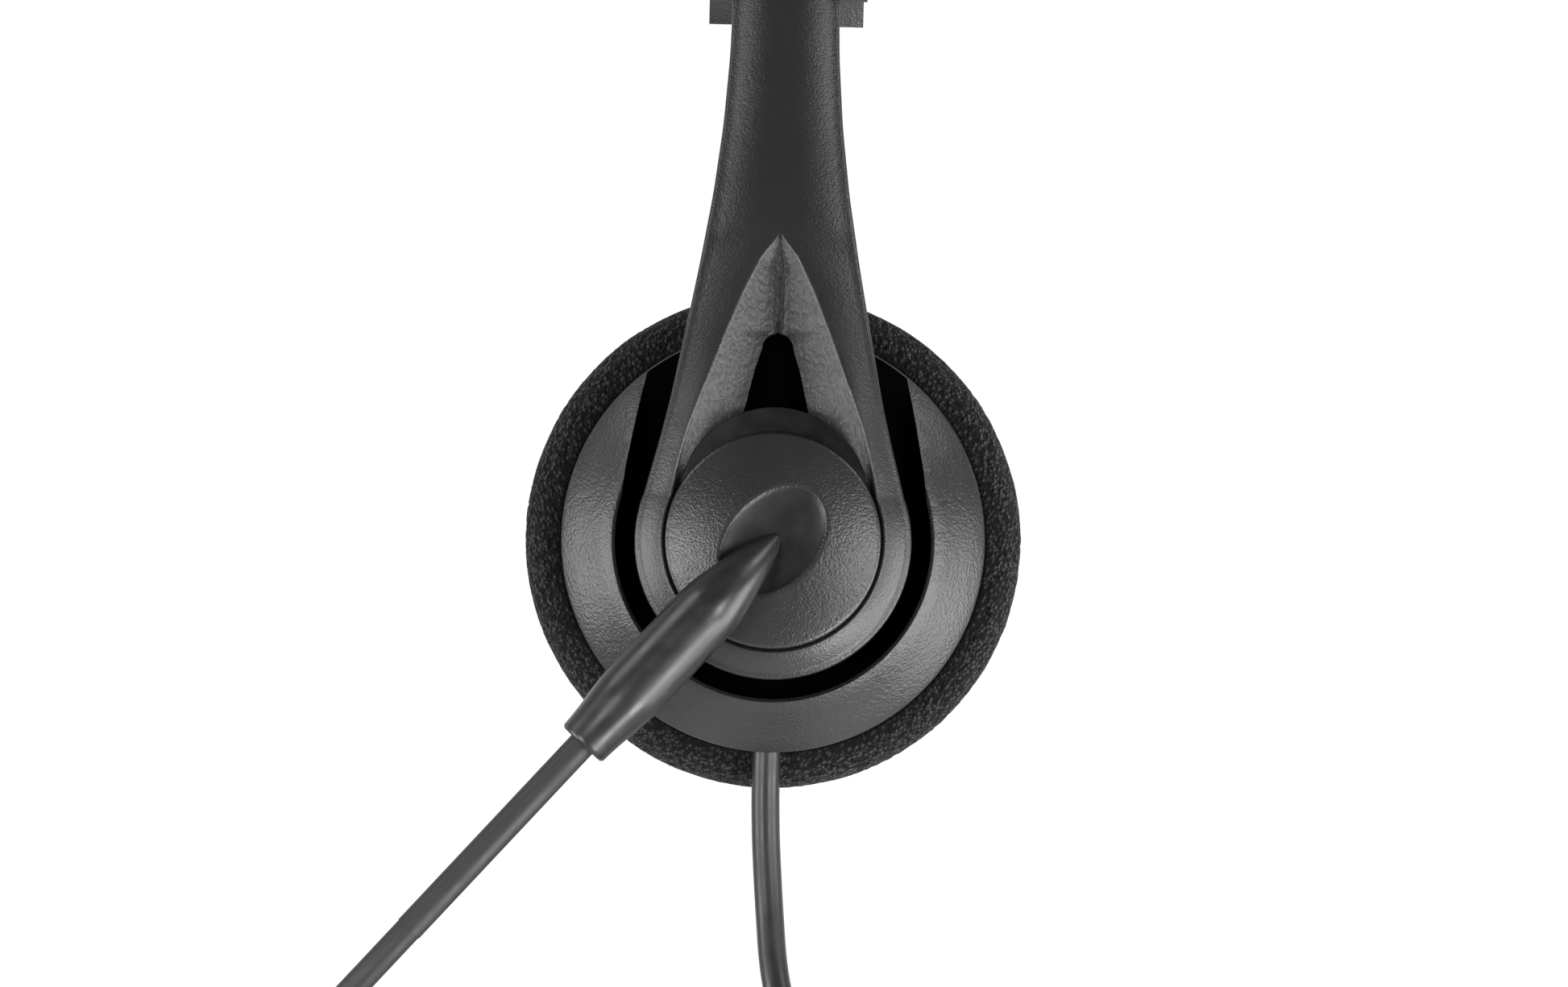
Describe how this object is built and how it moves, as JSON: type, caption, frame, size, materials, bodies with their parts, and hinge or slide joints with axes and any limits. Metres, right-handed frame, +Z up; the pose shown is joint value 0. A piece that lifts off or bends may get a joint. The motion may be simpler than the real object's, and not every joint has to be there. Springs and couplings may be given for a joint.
{
  "type": "headset microphone",
  "caption": "Stage headset with on-ear foam cups on a sprung adjustable headband, a boom microphone that pivots at the left cup, and a tied cable with a jack plug.",
  "frame": {"origin": "middle of the head opening: midway between the foam pads' inner faces, on the line through both cup centres", "axes": "+Z up, -X towards the wearer's front, -Y towards the wearer's left, where the boom is"},
  "size_m": [0.1333, 0.2147, 0.3759],
  "materials": {
    "black_plastic": "fine moulded texture",
    "dark_plastic": "satin",
    "foam": "open-cell foam",
    "pad_leather": "soft grained leatherette",
    "felt": "felt",
    "soft_rubber": "matt",
    "cable_jacket": "satin",
    "steel": "brushed",
    "magnet_metal": "plated",
    "copper": "enamelled wire",
    "film": "thin film",
    "gold_contact": "plated",
    "tie_fabric": "hook and loop strap"
  },
  "bodies": {
    "headband": {"headband_cover": "black_plastic", "headband_liner": "dark_plastic", "headband_spring": "steel", "headband_pad": "pad_leather", "crossover_wire": "cable_jacket", "left_end_housing": "black_plastic", "left_end_cover": "black_plastic", "left_detent_spring": "steel", "right_end_housing": "black_plastic", "right_end_cover": "black_plastic", "right_detent_spring": "steel", "housing_screws": "steel"},
    "left_arm": {"left_yoke": "black_plastic", "left_bearing_plate": "dark_plastic"},
    "right_arm": {"right_yoke": "black_plastic", "right_bearing_plate": "dark_plastic", "right_pivot_cap": "black_plastic"},
    "left_swivel": {"left_swivel_cross": "steel"},
    "right_swivel": {"right_swivel_cross": "steel"},
    "left_cup": {"left_shell": "black_plastic", "left_baffle": "dark_plastic", "left_acoustic_cloth": "felt", "left_driver_frame": "dark_plastic", "left_magnet": "magnet_metal", "left_voice_coil": "copper", "left_diaphragm": "film", "left_damper": "felt", "left_cup_screws": "steel", "left_foam_pad": "foam", "cable_grommet": "soft_rubber", "cable_clamp": "dark_plastic", "cable_lead": "cable_jacket", "cable_hank": "cable_jacket", "cable_tie": "tie_fabric", "cable_tail": "cable_jacket", "plug_body": "soft_rubber", "plug_contacts": "gold_contact", "plug_insulators": "dark_plastic"},
    "right_cup": {"right_shell": "black_plastic", "right_baffle": "dark_plastic", "right_acoustic_cloth": "felt", "right_driver_frame": "dark_plastic", "right_magnet": "magnet_metal", "right_voice_coil": "copper", "right_diaphragm": "film", "right_damper": "felt", "right_cup_screws": "steel", "right_foam_pad": "foam"},
    "boom": {"boom_hub": "black_plastic", "boom_washer": "steel", "boom_clip": "steel", "boom_holder": "black_plastic", "boom_tube": "soft_rubber", "mic_boot": "soft_rubber", "mic_front": "black_plastic", "mic_back": "black_plastic", "mic_element": "magnet_metal", "mic_seal": "soft_rubber"}
  },
  "joints": [
    {"name": "left_arm_slide", "type": "slide", "parent": "headband", "child": "left_arm", "axis": [0, -0.454, -0.891], "range_m": [-0.012, 0.008]},
    {"name": "right_arm_slide", "type": "slide", "parent": "headband", "child": "right_arm", "axis": [0, 0.454, -0.891], "range_m": [-0.012, 0.008]},
    {"name": "left_cup_tilt", "type": "hinge", "parent": "left_arm", "child": "left_swivel", "pos_m": [0, -0.0932, 0], "axis": [1, 0, 0], "range_deg": [-6, 3]},
    {"name": "right_cup_tilt", "type": "hinge", "parent": "right_arm", "child": "right_swivel", "pos_m": [0, 0.0932, 0], "axis": [1, 0, 0], "range_deg": [-3, 6]},
    {"name": "left_cup_swivel", "type": "hinge", "parent": "left_swivel", "child": "left_cup", "pos_m": [0, -0.0932, 0], "axis": [0, 0, 1], "range_deg": [-4, 4]},
    {"name": "right_cup_swivel", "type": "hinge", "parent": "right_swivel", "child": "right_cup", "pos_m": [0, 0.0932, 0], "axis": [0, 0, 1], "range_deg": [-4, 4]},
    {"name": "boom_pivot", "type": "hinge", "parent": "left_arm", "child": "boom", "pos_m": [0, -0.1, 0], "axis": [0, 1, 0], "range_deg": [-15, 130]}
  ]
}
